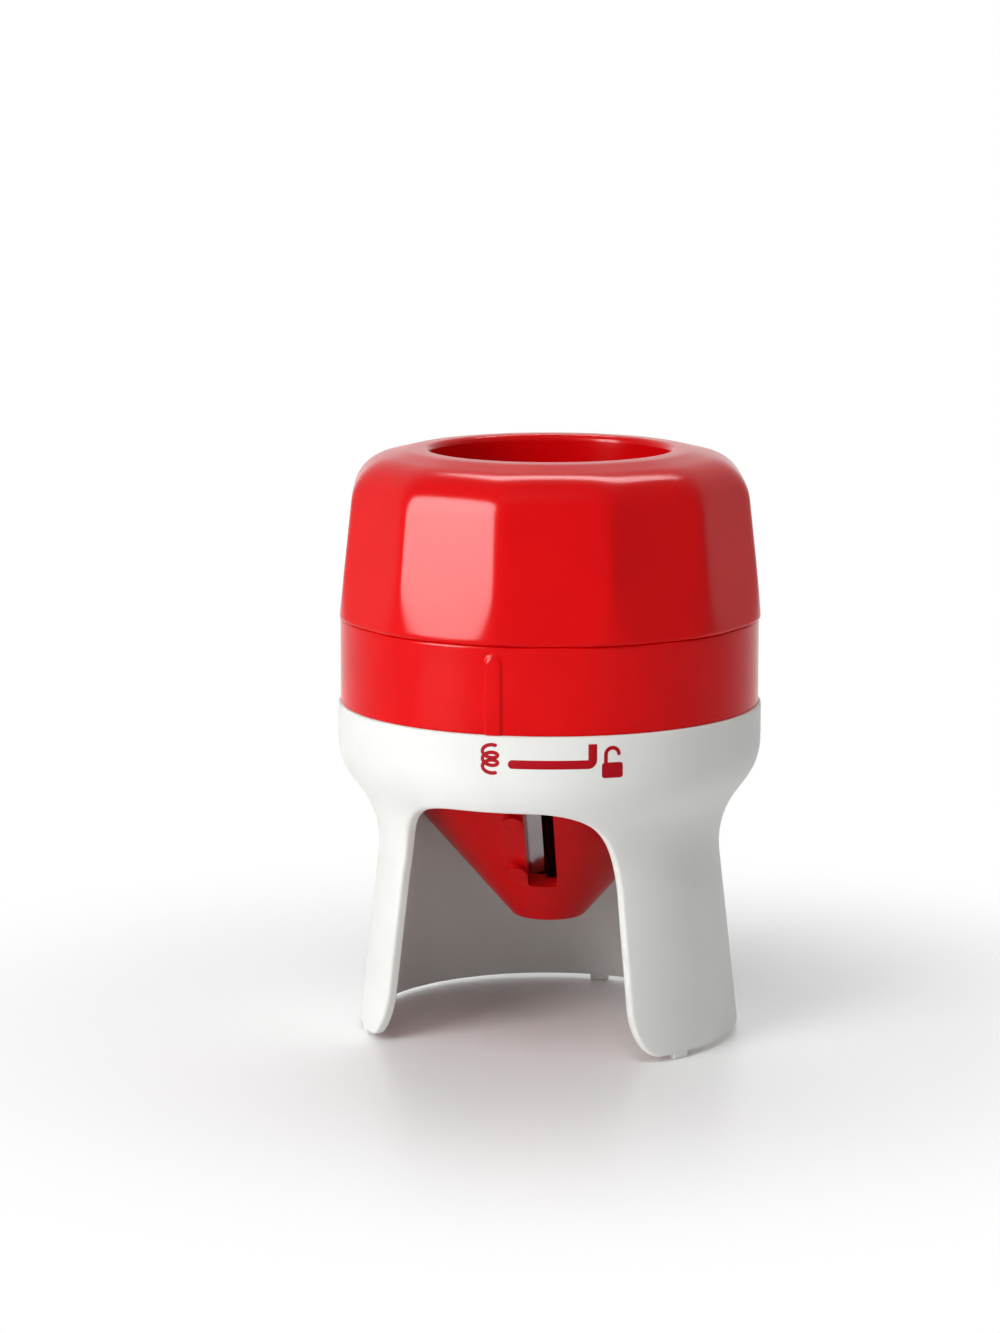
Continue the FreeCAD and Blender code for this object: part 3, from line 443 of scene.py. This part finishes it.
def knob_outside():
    """Rays fan out from inside the wall, and halving finds where each one leaves the knob."""
    ray_r = WELL_R + RIM_ROLL
    lowest = 90 + np.degrees(np.arctan(RAY_UP / (KNOB_R - 1 - ray_r)))
    angle = np.linspace(0, 2 * np.pi, KNOB_COLUMNS, endpoint=False)[None]
    lean = np.radians(np.linspace(0.0, lowest, KNOB_ROWS))[:, None]
    near = np.full((KNOB_ROWS, KNOB_COLUMNS), RAY_NEAR)
    far = np.full((KNOB_ROWS, KNOB_COLUMNS), RAY_FAR)
    for _ in range(HALVINGS):
        reach = (near + far) / 2
        outside = knob_distance(ray_r + reach * np.sin(lean), RAY_UP + reach * np.cos(lean), angle) > 0
        near, far = np.where(outside, near, reach), np.where(outside, reach, far)
    return ray_r + near * np.sin(lean), RAY_UP + near * np.cos(lean), angle


def knob_grid():
    """Facetted outside, rolled rim of the well, hem, and the shell's plain inside, all one closed loop."""
    radius, height, angle = knob_outside()
    roll = np.linspace(0, np.pi / 2, 10)[1:, None]
    rim_r = WELL_R + RIM_ROLL * (1 - np.sin(roll)) + 0 * angle
    rim_z = height[0].mean() - RIM_ROLL * (1 - np.cos(roll)) + 0 * angle
    inside = divided(np.array(SHELL_INSIDE), INSIDE_STEP, False)
    low_r = np.repeat(inside[::-1, :1], KNOB_COLUMNS, axis=1)
    low_z = np.repeat(inside[::-1, 1:], KNOB_COLUMNS, axis=1)
    radius = np.concatenate([rim_r[::-1], radius, low_r])
    height = np.concatenate([rim_z[::-1], height, low_z])
    return grid(around(radius, RING_TOP + height, angle + np.radians(FACET_TURN)))


piece("faceted_knob", [knob_grid()], "holder", ["knob_shell"], sharp=60)

# %% [markdown]
# ## The printed marks
# On the real collar three red marks are pad-printed: a coil for cutting, a track for the way the ring
# turns, and an open padlock. An image texture could carry them. A thin raised stroke along a path keeps
# them sharp at any distance, and it bends with the collar because its points are placed on the wall.

# %% Strokes that follow the collar
INK, INK_SINK, INK_STEP, PATCH_SQUARE = 0.05, 0.02, 0.12, 0.28


def stroke(turn_mm, height, width, flat_end=False):
    """A flat ribbon along a path, given by arc lengths and heights in mm.

    Its half width is the height of a half circle over the distance to the nearer end.
    """
    length = np.concatenate([[0], np.cumsum(np.hypot(np.diff(turn_mm), np.diff(height)))])
    cap = width / 2 * (1 - np.cos(np.linspace(0, np.pi / 2, 7)))
    own = np.sort(np.concatenate([cap, np.arange(width, length[-1] - width, INK_STEP), length[-1] - cap]))
    u, v = np.interp(own, length, turn_mm), np.interp(own, length, height)
    du, dv = np.gradient(u, own), np.gradient(v, own)
    size = np.hypot(du, dv)
    left = length[-1] - own
    end = np.minimum(own, np.where(left > SAME_MM, width, 0) if flat_end else left)
    end = np.minimum(end / (width / 2), 1)
    half = width / 2 * np.sqrt(1 - (1 - end) ** 2)[:, None]
    across = np.array([-1, -0.9, 0.9, 1])
    lift = np.array([-INK_SINK, INK, INK, -INK_SINK])
    flat_u = u[:, None] - (dv / size)[:, None] * half * across
    flat_v = v[:, None] + (du / size)[:, None] * half * across
    radius = outer_wall(flat_v) + lift * (half > 0)
    return grid(around(radius, flat_v, flat_u / COLLAR_R), wrap_rows=False)


def patch(middle_mm, middle_up, wide, tall):
    """A filled shape with soft corners: a superellipse shrunk in rings to its middle."""
    side, rise = superellipse(np.linspace(0, 2 * np.pi, 96, endpoint=False), PATCH_SQUARE)
    size = np.array([0, 0.25, 0.5, 0.75, 0.97, 1.0])[:, None]
    lift = np.where(size < 1, INK, -INK_SINK)
    u = middle_mm + size * wide / 2 * side
    v = middle_up + size * tall / 2 * rise
    return grid(around(outer_wall(v) + lift, v, u / COLLAR_R), wrap_rows=False)


def collar_mm(degrees):
    """The arc length on the collar that an angle spans."""
    return np.radians(degrees) * COLLAR_R


print(f"one degree on the collar is {collar_mm(1):.2f} mm")

# %% [markdown]
# The coil is an ellipse that sinks as it turns, so its loops overlap like a spring seen aslant. The
# track runs level and turns up at its right end, as the slot behind it does. The padlock is a soft block
# under a hook whose right end stays clear of it.

# %% Coil, track and open padlock
COIL_AT, COIL_UP, COIL_WIDE, COIL_TALL, COIL_PITCH, COIL_INK = collar_mm(1.3), 67.2, 1.62, 0.92, 1.6, 0.8
TRACK_LEFT, TRACK_RIGHT = collar_mm(5.9) + 0.1, collar_mm(28.1)
TRACK_LOW, TRACK_TOP, TRACK_INK = 66.2, 70.45, 1.9
LOCK_AT, LOCK_UP, LOCK_WIDE, LOCK_TALL = collar_mm(33.35), 64.85, 4.55, 3.3
HOOK_R, HOOK_FOOT, HOOK_UP, HOOK_INK = 1.4, 1.2, 3.28, 0.84

loop = np.linspace(0.14 * np.pi, 5.86 * np.pi, 240)
coil_u = COIL_AT + COIL_WIDE * np.cos(loop)
coil_v = COIL_UP - (loop / (2 * np.pi) - 1.5) * COIL_PITCH + COIL_TALL * np.sin(loop)
bend = np.linspace(-np.pi / 2, 0, 12)
bend_r = TRACK_INK / 2
track_u = np.concatenate([[TRACK_LEFT], TRACK_RIGHT - bend_r + bend_r * np.cos(bend), [TRACK_RIGHT]])
track_v = np.concatenate([[TRACK_LOW], TRACK_LOW + bend_r + bend_r * np.sin(bend), [TRACK_TOP]])
hook = np.linspace(np.pi, -0.06 * np.pi, 40)
hook_u = LOCK_AT + np.concatenate([[-HOOK_R], HOOK_R * np.cos(hook)])
hook_v = LOCK_UP + np.concatenate([[HOOK_FOOT], HOOK_UP + HOOK_R * np.sin(hook)])
piece("printed_marks", [
    stroke(coil_u, coil_v, COIL_INK), stroke(track_u, track_v, TRACK_INK, flat_end=True),
    stroke(hook_u, hook_v, HOOK_INK), patch(LOCK_AT, LOCK_UP, LOCK_WIDE, LOCK_TALL),
], "stand")

# %% [markdown]
# ## The blade screws
# Two small screws hold the blade. In CAD they are plain buttons. A cross recess is what makes them read
# as screws, so the head is a polar grid whose height drops inside a soft cross.

# %% Where the cone's wall lies, and the screws on it
CONE_LEAN, BLADE_TURN, INNER_APEX = np.radians(41.0), np.radians(13.0), 18.8
BLADE_MID, SCREW_AT, SCREW_SPREAD, BLADE_TOP = 36.0, 5.7, 8.7, 2.1
HEAD_R, HEAD_TALL, DOME_R, DOME_UP, HEAD_SIDE = 1.9, 0.62, 1.5, 0.5, 0.2
SHANK_R, SHANK_LOW, TIP_R, TIP_LOW, SCREW_STEP = 1.0, -3.2, 0.5, -4.2, 0.09
ARM_HALF, ARM_SOFT, ARM_LONG, END_SOFT, RECESS = 0.3, 0.12, 1.15, 0.25, 0.42


def on_cone(points, along, above, right):
    """From the blade's flat frame (x right, y down the wall, z inward) to the object's frame."""
    x, y, z = points[..., 0] + right, points[..., 1], points[..., 2]
    up_wall, inward = along - y, above + z
    back = inward * np.cos(CONE_LEAN) - up_wall * np.sin(CONE_LEAN)
    height = INNER_APEX + up_wall * np.cos(CONE_LEAN) + inward * np.sin(CONE_LEAN)
    turned_x = x * np.cos(BLADE_TURN) - back * np.sin(BLADE_TURN)
    turned_y = x * np.sin(BLADE_TURN) + back * np.cos(BLADE_TURN)
    return np.stack([turned_x, turned_y, height], axis=-1)


def screw_grid(along, twist):
    """Domed head with a cross recess: the recess is deepest in the middle and fades past its arms."""
    line = rounded([(0, HEAD_TALL), (DOME_R, DOME_UP, 1.2), (HEAD_R, 0, 0.12), (SHANK_R, 0),
                    (SHANK_R, SHANK_LOW), (TIP_R, TIP_LOW), (0, TIP_LOW)])
    line = divided(line, SCREW_STEP, False)
    turn = np.linspace(0, 2 * np.pi, 96, endpoint=False)
    x = line[:, :1] * np.cos(turn)
    y = line[:, :1] * np.sin(turn)
    z = np.repeat(line[:, 1:], len(turn), axis=1)
    u, v = x * np.cos(twist) - y * np.sin(twist), x * np.sin(twist) + y * np.cos(twist)
    arm = np.minimum(np.abs(u), np.abs(v))
    cross = np.clip((ARM_HALF - arm) / ARM_SOFT, 0, 1)
    cross = cross * np.clip((ARM_LONG - np.hypot(u, v)) / END_SOFT, 0, 1)
    z = z - RECESS * cross * (z > HEAD_SIDE)
    return grid(on_cone(np.stack([x, y, z], axis=-1), along, BLADE_TOP, -SCREW_AT), wrap_rows=False)


for name, side, twist in (("lower", -1, 0.4), ("upper", 1, 1.1)):
    screw = screw_grid(BLADE_MID + SCREW_SPREAD * side, twist)
    piece(f"cross_screw_{name}", [screw], "cutter", [f"blade_screw_{name}"])

# %% [markdown]
# ## Finishes written as expressions
# A finish is a material whose nodes are written as Python sums. A small class wraps a node's output, and
# an operator on it adds a Math node, so a mottled roughness reads as 0.28 + 0.06 * noise. Colours go
# through Mix nodes, because a Math node would turn them grey.

# %% Numbers that vary, and trees of nodes
class Value:
    """A number that varies over a surface."""

    def __init__(self, nodes, socket):
        self.nodes, self.socket = nodes, socket

    def _sum(self, operation, first, second):
        """The Math node of one operator."""
        return self.nodes.node("ShaderNodeMath", {"operation": operation}, {0: first, 1: second})

    def __add__(self, other):
        return self._sum("ADD", self, other)

    def __sub__(self, other):
        return self._sum("SUBTRACT", self, other)

    def __mul__(self, other):
        return self._sum("MULTIPLY", self, other)

    __radd__ = __add__
    __rmul__ = __mul__


class Nodes:
    """A node tree that is built from expressions on Value."""

    def __init__(self, tree):
        self.tree = tree

    def node(self, kind, settings=None, inputs=None, output=0):
        """Adds one node: its settings first, then the values or links of its inputs."""
        node = self.tree.nodes.new(kind)
        for key, value in (settings or {}).items():
            setattr(node, key, value)
        for key, value in (inputs or {}).items():
            self.feed(node.inputs[key], value)
        return Value(self, node.outputs[output])

    def feed(self, socket, value):
        """Links a Value to a socket, or sets the socket to a constant."""
        if isinstance(value, Value):
            self.tree.links.new(value.socket, socket)
        else:
            socket.default_value = value

    def larger(self, first, second):
        """The larger of two numbers."""
        return self.node("ShaderNodeMath", {"operation": "MAXIMUM"}, {0: first, 1: second})


print("a Value takes +, - and *")

# %% [markdown]
# A finish adds what all of the tool's materials share: noise by its size in millimetres, a smooth step, a
# mix of two colours and a bump. Its shader is the Principled BSDF that every new material holds.

# %% The finish class
class Finish(Nodes):
    """A material with its shader, and noise placed on the object itself."""

    def __init__(self, name):
        self.material = bpy.data.materials.new(name)
        self.material.use_nodes = True
        super().__init__(self.material.node_tree)
        self.shader = self.tree.nodes["Principled BSDF"]
        self.place = self.node("ShaderNodeTexCoord", output="Object")

    def noise(self, size_mm, detail=3.0, stretch=(1, 1, 1)):
        """Noise between 0 and 1 whose blotches are about this wide."""
        place = self.node("ShaderNodeVectorMath", {"operation": "MULTIPLY"}, {0: self.place, 1: stretch})
        return self.node("ShaderNodeTexNoise", None,
                         {"Vector": place, "Scale": 1 / (size_mm * MM), "Detail": detail})

    def soft_step(self, value, low, high):
        """0 below low, 1 above high, and smooth between."""
        return self.node("ShaderNodeMapRange", {"interpolation_type": "SMOOTHSTEP"},
                         {"Value": value, "From Min": low, "From Max": high})

    def mix(self, share, first, second):
        """A colour between two colours."""
        return self.node("ShaderNodeMix", {"data_type": "RGBA"}, {0: share, 6: first, 7: second}, 2)

    def bump(self, height, depth_mm):
        """A surface that looks raised by up to a depth where the height is 1."""
        return self.node("ShaderNodeBump", None, {"Height": height, "Distance": depth_mm * MM})

    def set(self, **values):
        """Feeds the shader's sockets; Base_Color stands for Base Color."""
        for key, value in values.items():
            self.feed(self.shader.inputs[key.replace("_", " ")], value)
        return self.material


print("finishes offer noise, soft_step, mix and bump")

# %% [markdown]
# ## Moulded plastic
# Injection-moulded plastic isn't flat: the pigment flows in faint clouds, the mould leaves a grain finer
# than a millimetre, and handling leaves hairline scuffs that only show in the gloss. So the colour
# changes by a few percent over centimetres, the roughness by a little more, and the bump is very shallow.
# The index of refraction is low, because the white room would otherwise bleach the deep red in its gloss.

# %% Red and white mouldings
CLOUD_MM, SMEAR_MM, SCUFF_MM, SCUFF_STRETCH = 22, 9, 1.3, (0.14, 1.0, 1.0)
CLOUD_SPAN, SCUFF_SPAN = (0.3, 0.75), (0.62, 0.78)
SMEAR_ROUGH, GRAIN_ROUGH, SCUFF_DEPTH = 0.06, 0.05, 0.12


def moulded(name, colour, deep, gloss, grain_mm, grain_depth, scuffs, bend=1.18):
    """Clouded pigment, mould grain, and scuffs along thin stretched noise."""
    finish = Finish(name)
    cloud = finish.soft_step(finish.noise(CLOUD_MM, 2), *CLOUD_SPAN)
    fine = finish.noise(grain_mm, 2)
    scratch = finish.soft_step(finish.noise(SCUFF_MM, 1, SCUFF_STRETCH), *SCUFF_SPAN)
    smear = finish.noise(SMEAR_MM, 3)
    return finish.set(
        Base_Color=finish.mix(cloud, (*colour, 1), (*deep, 1)),
        Roughness=gloss + SMEAR_ROUGH * (smear - 0.5) + GRAIN_ROUGH * (fine - 0.5) + scuffs * scratch,
        Normal=finish.bump(fine - SCUFF_DEPTH * scratch, grain_depth),
        IOR=bend,
    )


RED, RED_DEEP = (0.70, 0.002, 0.003), (0.64, 0.001, 0.003)
knob_red = moulded("knob_gloss_red", RED, RED_DEEP, gloss=0.19, grain_mm=0.9, grain_depth=0.0015, scuffs=0.02)
ring_red = moulded("ring_gloss_red", RED, RED_DEEP, gloss=0.17, grain_mm=0.9, grain_depth=0.001, scuffs=0.02)
# The cone is the same red plastic as the ring, given a darker colour: painted shade of the arch it stands in.
cone_red = moulded("cone_red", (0.5, 0.002, 0.003), (0.45, 0.002, 0.003),
                   gloss=0.3, grain_mm=0.7, grain_depth=0.004, scuffs=0.05)
white = moulded("satin_white", (0.80, 0.805, 0.78), (0.76, 0.765, 0.74),
                gloss=0.45, grain_mm=0.8, grain_depth=0.006, scuffs=0.04, bend=1.1)
ink = moulded("printed_red", (0.42, 0.003, 0.010), (0.36, 0.003, 0.010),
              gloss=0.42, grain_mm=0.3, grain_depth=0.004, scuffs=0.05)
print("plastic finishes:", knob_red.name, ring_red.name, cone_red.name, white.name, ink.name)

# %% [markdown]
# ## Steel
# The blade and comb are ground along their length, so fine lines run one way and stretch the highlights
# across them. The prongs are polished, and only a faint cloud of roughness tells them from chrome.

# %% Ground and polished steel
STREAK_MM, STREAK_ROUGH, STEEL_CLOUD_MM, CLOUD_ROUGH, STREAK_DEPTH = 0.35, 0.1, 6, 0.08, 0.004


def ground_steel(name, rough, stretch, dull=0.58, bright=0.7):
    """Streaked noise drives roughness, colour and a shallow bump."""
    finish = Finish(name)
    streak = finish.noise(STREAK_MM, 4, stretch)
    cloud = finish.noise(STEEL_CLOUD_MM, 3)
    return finish.set(
        Base_Color=finish.mix(streak, *((grey, grey, grey + 0.01, 1) for grey in (dull, bright))),
        Metallic=1.0,
        Roughness=rough + STREAK_ROUGH * streak + CLOUD_ROUGH * (cloud - 0.5),
        Normal=finish.bump(streak, STREAK_DEPTH),
    )


# The blade and comb take a steel darker than the prongs' and screws': painted shade of the dark window in the
# cone.
blade_steel_painted_shade = ground_steel("ground_blade_steel", 0.12, (1.0, 0.12, 0.12), dull=0.36, bright=0.48)
prong_steel = ground_steel("polished_prong_steel", 0.26, (1.0, 1.0, 0.2))
screw_steel = ground_steel("screw_steel", 0.24, (1.0, 1.0, 1.0))
print("steel finishes:", blade_steel_painted_shade.name, prong_steel.name, screw_steel.name)

# %% [markdown]
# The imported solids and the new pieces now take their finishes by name. The solids that a new piece
# replaces take the same finish as it does.

# %% Every node and piece gets its finish
finishes = {
    "bell_stand": white, "turning_ring": ring_red, "faceted_knob": knob_red, "printed_marks": ink,
    "cross_screw_lower": screw_steel, "cross_screw_upper": screw_steel, "base_stand": white,
    "guide_ring": ring_red, "knob_shell": knob_red, "holder_core": ring_red, "prong_carrier": ring_red,
    "cutter_cone": cone_red, "slicing_blade": blade_steel_painted_shade, "julienne_comb": blade_steel_painted_shade,
    "blade_screw_lower": screw_steel, "blade_screw_upper": screw_steel, "centre_spike": prong_steel,
}
finishes.update({f"prong_{number}": prong_steel for number in range(1, 7)})
for name, material in finishes.items():
    thing = bpy.data.objects[name]
    if not thing.material_slots:
        thing.data.materials.append(material)
    for place in thing.material_slots:
        place.material = material
print("finished pieces:", len(finishes))

# %% [markdown]
# ## Stage
# The tool stands on white paper that sweeps up behind it, so there is no horizon. A real sweep is lit
# until it is plain white everywhere but under the tool. Lamps that strong would bleach the tool too, so
# the paper itself glows to the camera, more with the distance from the tool, and keeps the near shadow.

# %% Paper that sweeps up
PAPER_FRONT, PAPER_BACK, SWEEP_R, PAPER_TOP, PAPER_HALF = -1.6, 1.5, 0.6, 2.4, 2.5
GLOW_FROM, GLOW_FULL = 0.045, 0.18

sweep = rounded([(PAPER_FRONT, 0), (PAPER_BACK, 0, SWEEP_R), (PAPER_BACK, PAPER_TOP)], 20)
sweep = divided(sweep, 0.2, False)
across = np.linspace(-PAPER_HALF, PAPER_HALF, 12)
points = np.stack(np.broadcast_arrays(across[None], sweep[:, :1], sweep[:, 1:]), axis=-1).reshape(-1, 3)
floor_mesh = bpy.data.meshes.new("sweep")
floor_mesh.from_pydata(points.tolist(), [], grid_faces(len(sweep), len(across), False, False).tolist())
floor_mesh.shade_smooth()
floor = bpy.data.objects.new("sweep", floor_mesh)
bpy.context.collection.objects.link(floor)


def seen(nodes):
    """1 for a ray from the camera or sent on by a gloss or a clear piece, and 0 for light's own rays."""
    straight, glossy, clear = (nodes.node("ShaderNodeLightPath", output=f"Is {kind} Ray")
                               for kind in ("Camera", "Glossy", "Transmission"))
    return nodes.larger(nodes.larger(straight, glossy), clear)


paper = Finish("white_paper")
speck = paper.noise(3, 3)
floor_mesh.materials.append(paper.set(
    Base_Color=paper.mix(speck, (0.93, 0.93, 0.93, 1), (0.96, 0.96, 0.96, 1)),
    Roughness=0.35 + 0.05 * speck,
))
away = paper.node("ShaderNodeVectorMath", {"operation": "LENGTH"}, {0: paper.place}, output="Value")
glowing = paper.node("ShaderNodeMixShader", None, {
    0: paper.soft_step(away, GLOW_FROM, GLOW_FULL) * seen(paper),
    1: Value(paper, paper.shader.outputs[0]),
    2: paper.node("ShaderNodeEmission"),
})
paper.feed(paper.tree.nodes["Material Output"].inputs["Surface"], glowing)
print(f"sweep: {len(sweep)} rows")

# %% [markdown]
# ## Light
# A large softbox stands to the left, as the long highlight on the knob's left facets shows, and a smaller
# one above. In dark gloss the bright panel of a softbox shows far more strongly than its light on a pale
# wall suggests, so each softbox only lights, and a gleam beside it only shows in the gloss. The room
# looks white to the camera and in the gloss, but lights the tool more gently than that.

# %% Lamps and room
CAMERA_TURN = np.radians(16.8)
TOOL_MIDDLE, PAPER_AIM = (0, 0, 0.08), (0, 1.4, 0.2)
ROOM_LIGHT = 0.27


def soft_lamp(name, turn, lift, distance, size, power, aim=TOOL_MIDDLE, gleam=False):
    """A rectangular lamp at an angle from the camera's side and a lift, in degrees, facing a point."""
    lamp = bpy.data.lights.new(name, "AREA")
    lamp.shape, lamp.energy = "RECTANGLE", power
    lamp.size, lamp.size_y = size
    thing = bpy.data.objects.new(name, lamp)
    bpy.context.collection.objects.link(thing)
    turn, lift = CAMERA_TURN + np.radians(turn), np.radians(lift)
    place = around(distance * np.cos(lift), distance * np.sin(lift), turn)
    thing.location = Vector(place) + Vector(TOOL_MIDDLE)
    thing.rotation_euler = (thing.location - Vector(aim)).to_track_quat("Z", "Y").to_euler()
    thing.visible_diffuse, thing.visible_glossy = not gleam, gleam


soft_lamp("left_softbox", turn=-46, lift=22, distance=1.2, size=(0.55, 0.75), power=7.6)
soft_lamp("left_gleam", turn=-60, lift=19, distance=1.19, size=(0.48, 0.8), power=50, gleam=True)
soft_lamp("top_softbox", turn=-15, lift=60, distance=1.3, size=(0.6, 0.6), power=4.1)
soft_lamp("top_gleam", turn=170, lift=62, distance=1.29, size=(1.0, 0.3), power=18, gleam=True)
soft_lamp("backdrop_wash", turn=180, lift=50, distance=1.7, size=(1.6, 0.8), power=5, aim=PAPER_AIM)

world = bpy.data.worlds.new("studio")
bpy.context.scene.world = world
world.use_nodes = True
room = Nodes(world.node_tree)
background = room.tree.nodes["Background"]
room.feed(background.inputs["Color"], (1, 1, 1, 1))
room.feed(background.inputs["Strength"], ROOM_LIGHT + (1 - ROOM_LIGHT) * seen(room))

# %% [markdown]
# ## Camera
# The camera was found by matching the ring's rim, the seam under it and the foot with the photograph. It
# stands about 0.88 m away, a little above the tool, and looks down by ten degrees.

# %% The camera
AWAY, HIGH, PITCH, YAW = 0.8493, 0.2244, np.radians(9.72), np.radians(0.72)
FOCAL_PX, PHOTO_TALL_PX, SENSOR_MM = 3993.0, 1333, 24

camera_data = bpy.data.cameras.new("camera")
camera = bpy.data.objects.new("camera", camera_data)
bpy.context.collection.objects.link(camera)
camera_data.sensor_fit = "VERTICAL"
camera_data.sensor_height = SENSOR_MM
camera_data.lens = FOCAL_PX / PHOTO_TALL_PX * SENSOR_MM
camera.location = around(AWAY, HIGH, CAMERA_TURN)
camera.rotation_euler = (np.pi / 2 - PITCH, 0, CAMERA_TURN + YAW)
bpy.context.scene.camera = camera
bpy.context.scene.view_settings.view_transform = "Standard"
print(f"focal length {camera_data.lens:.1f} mm")
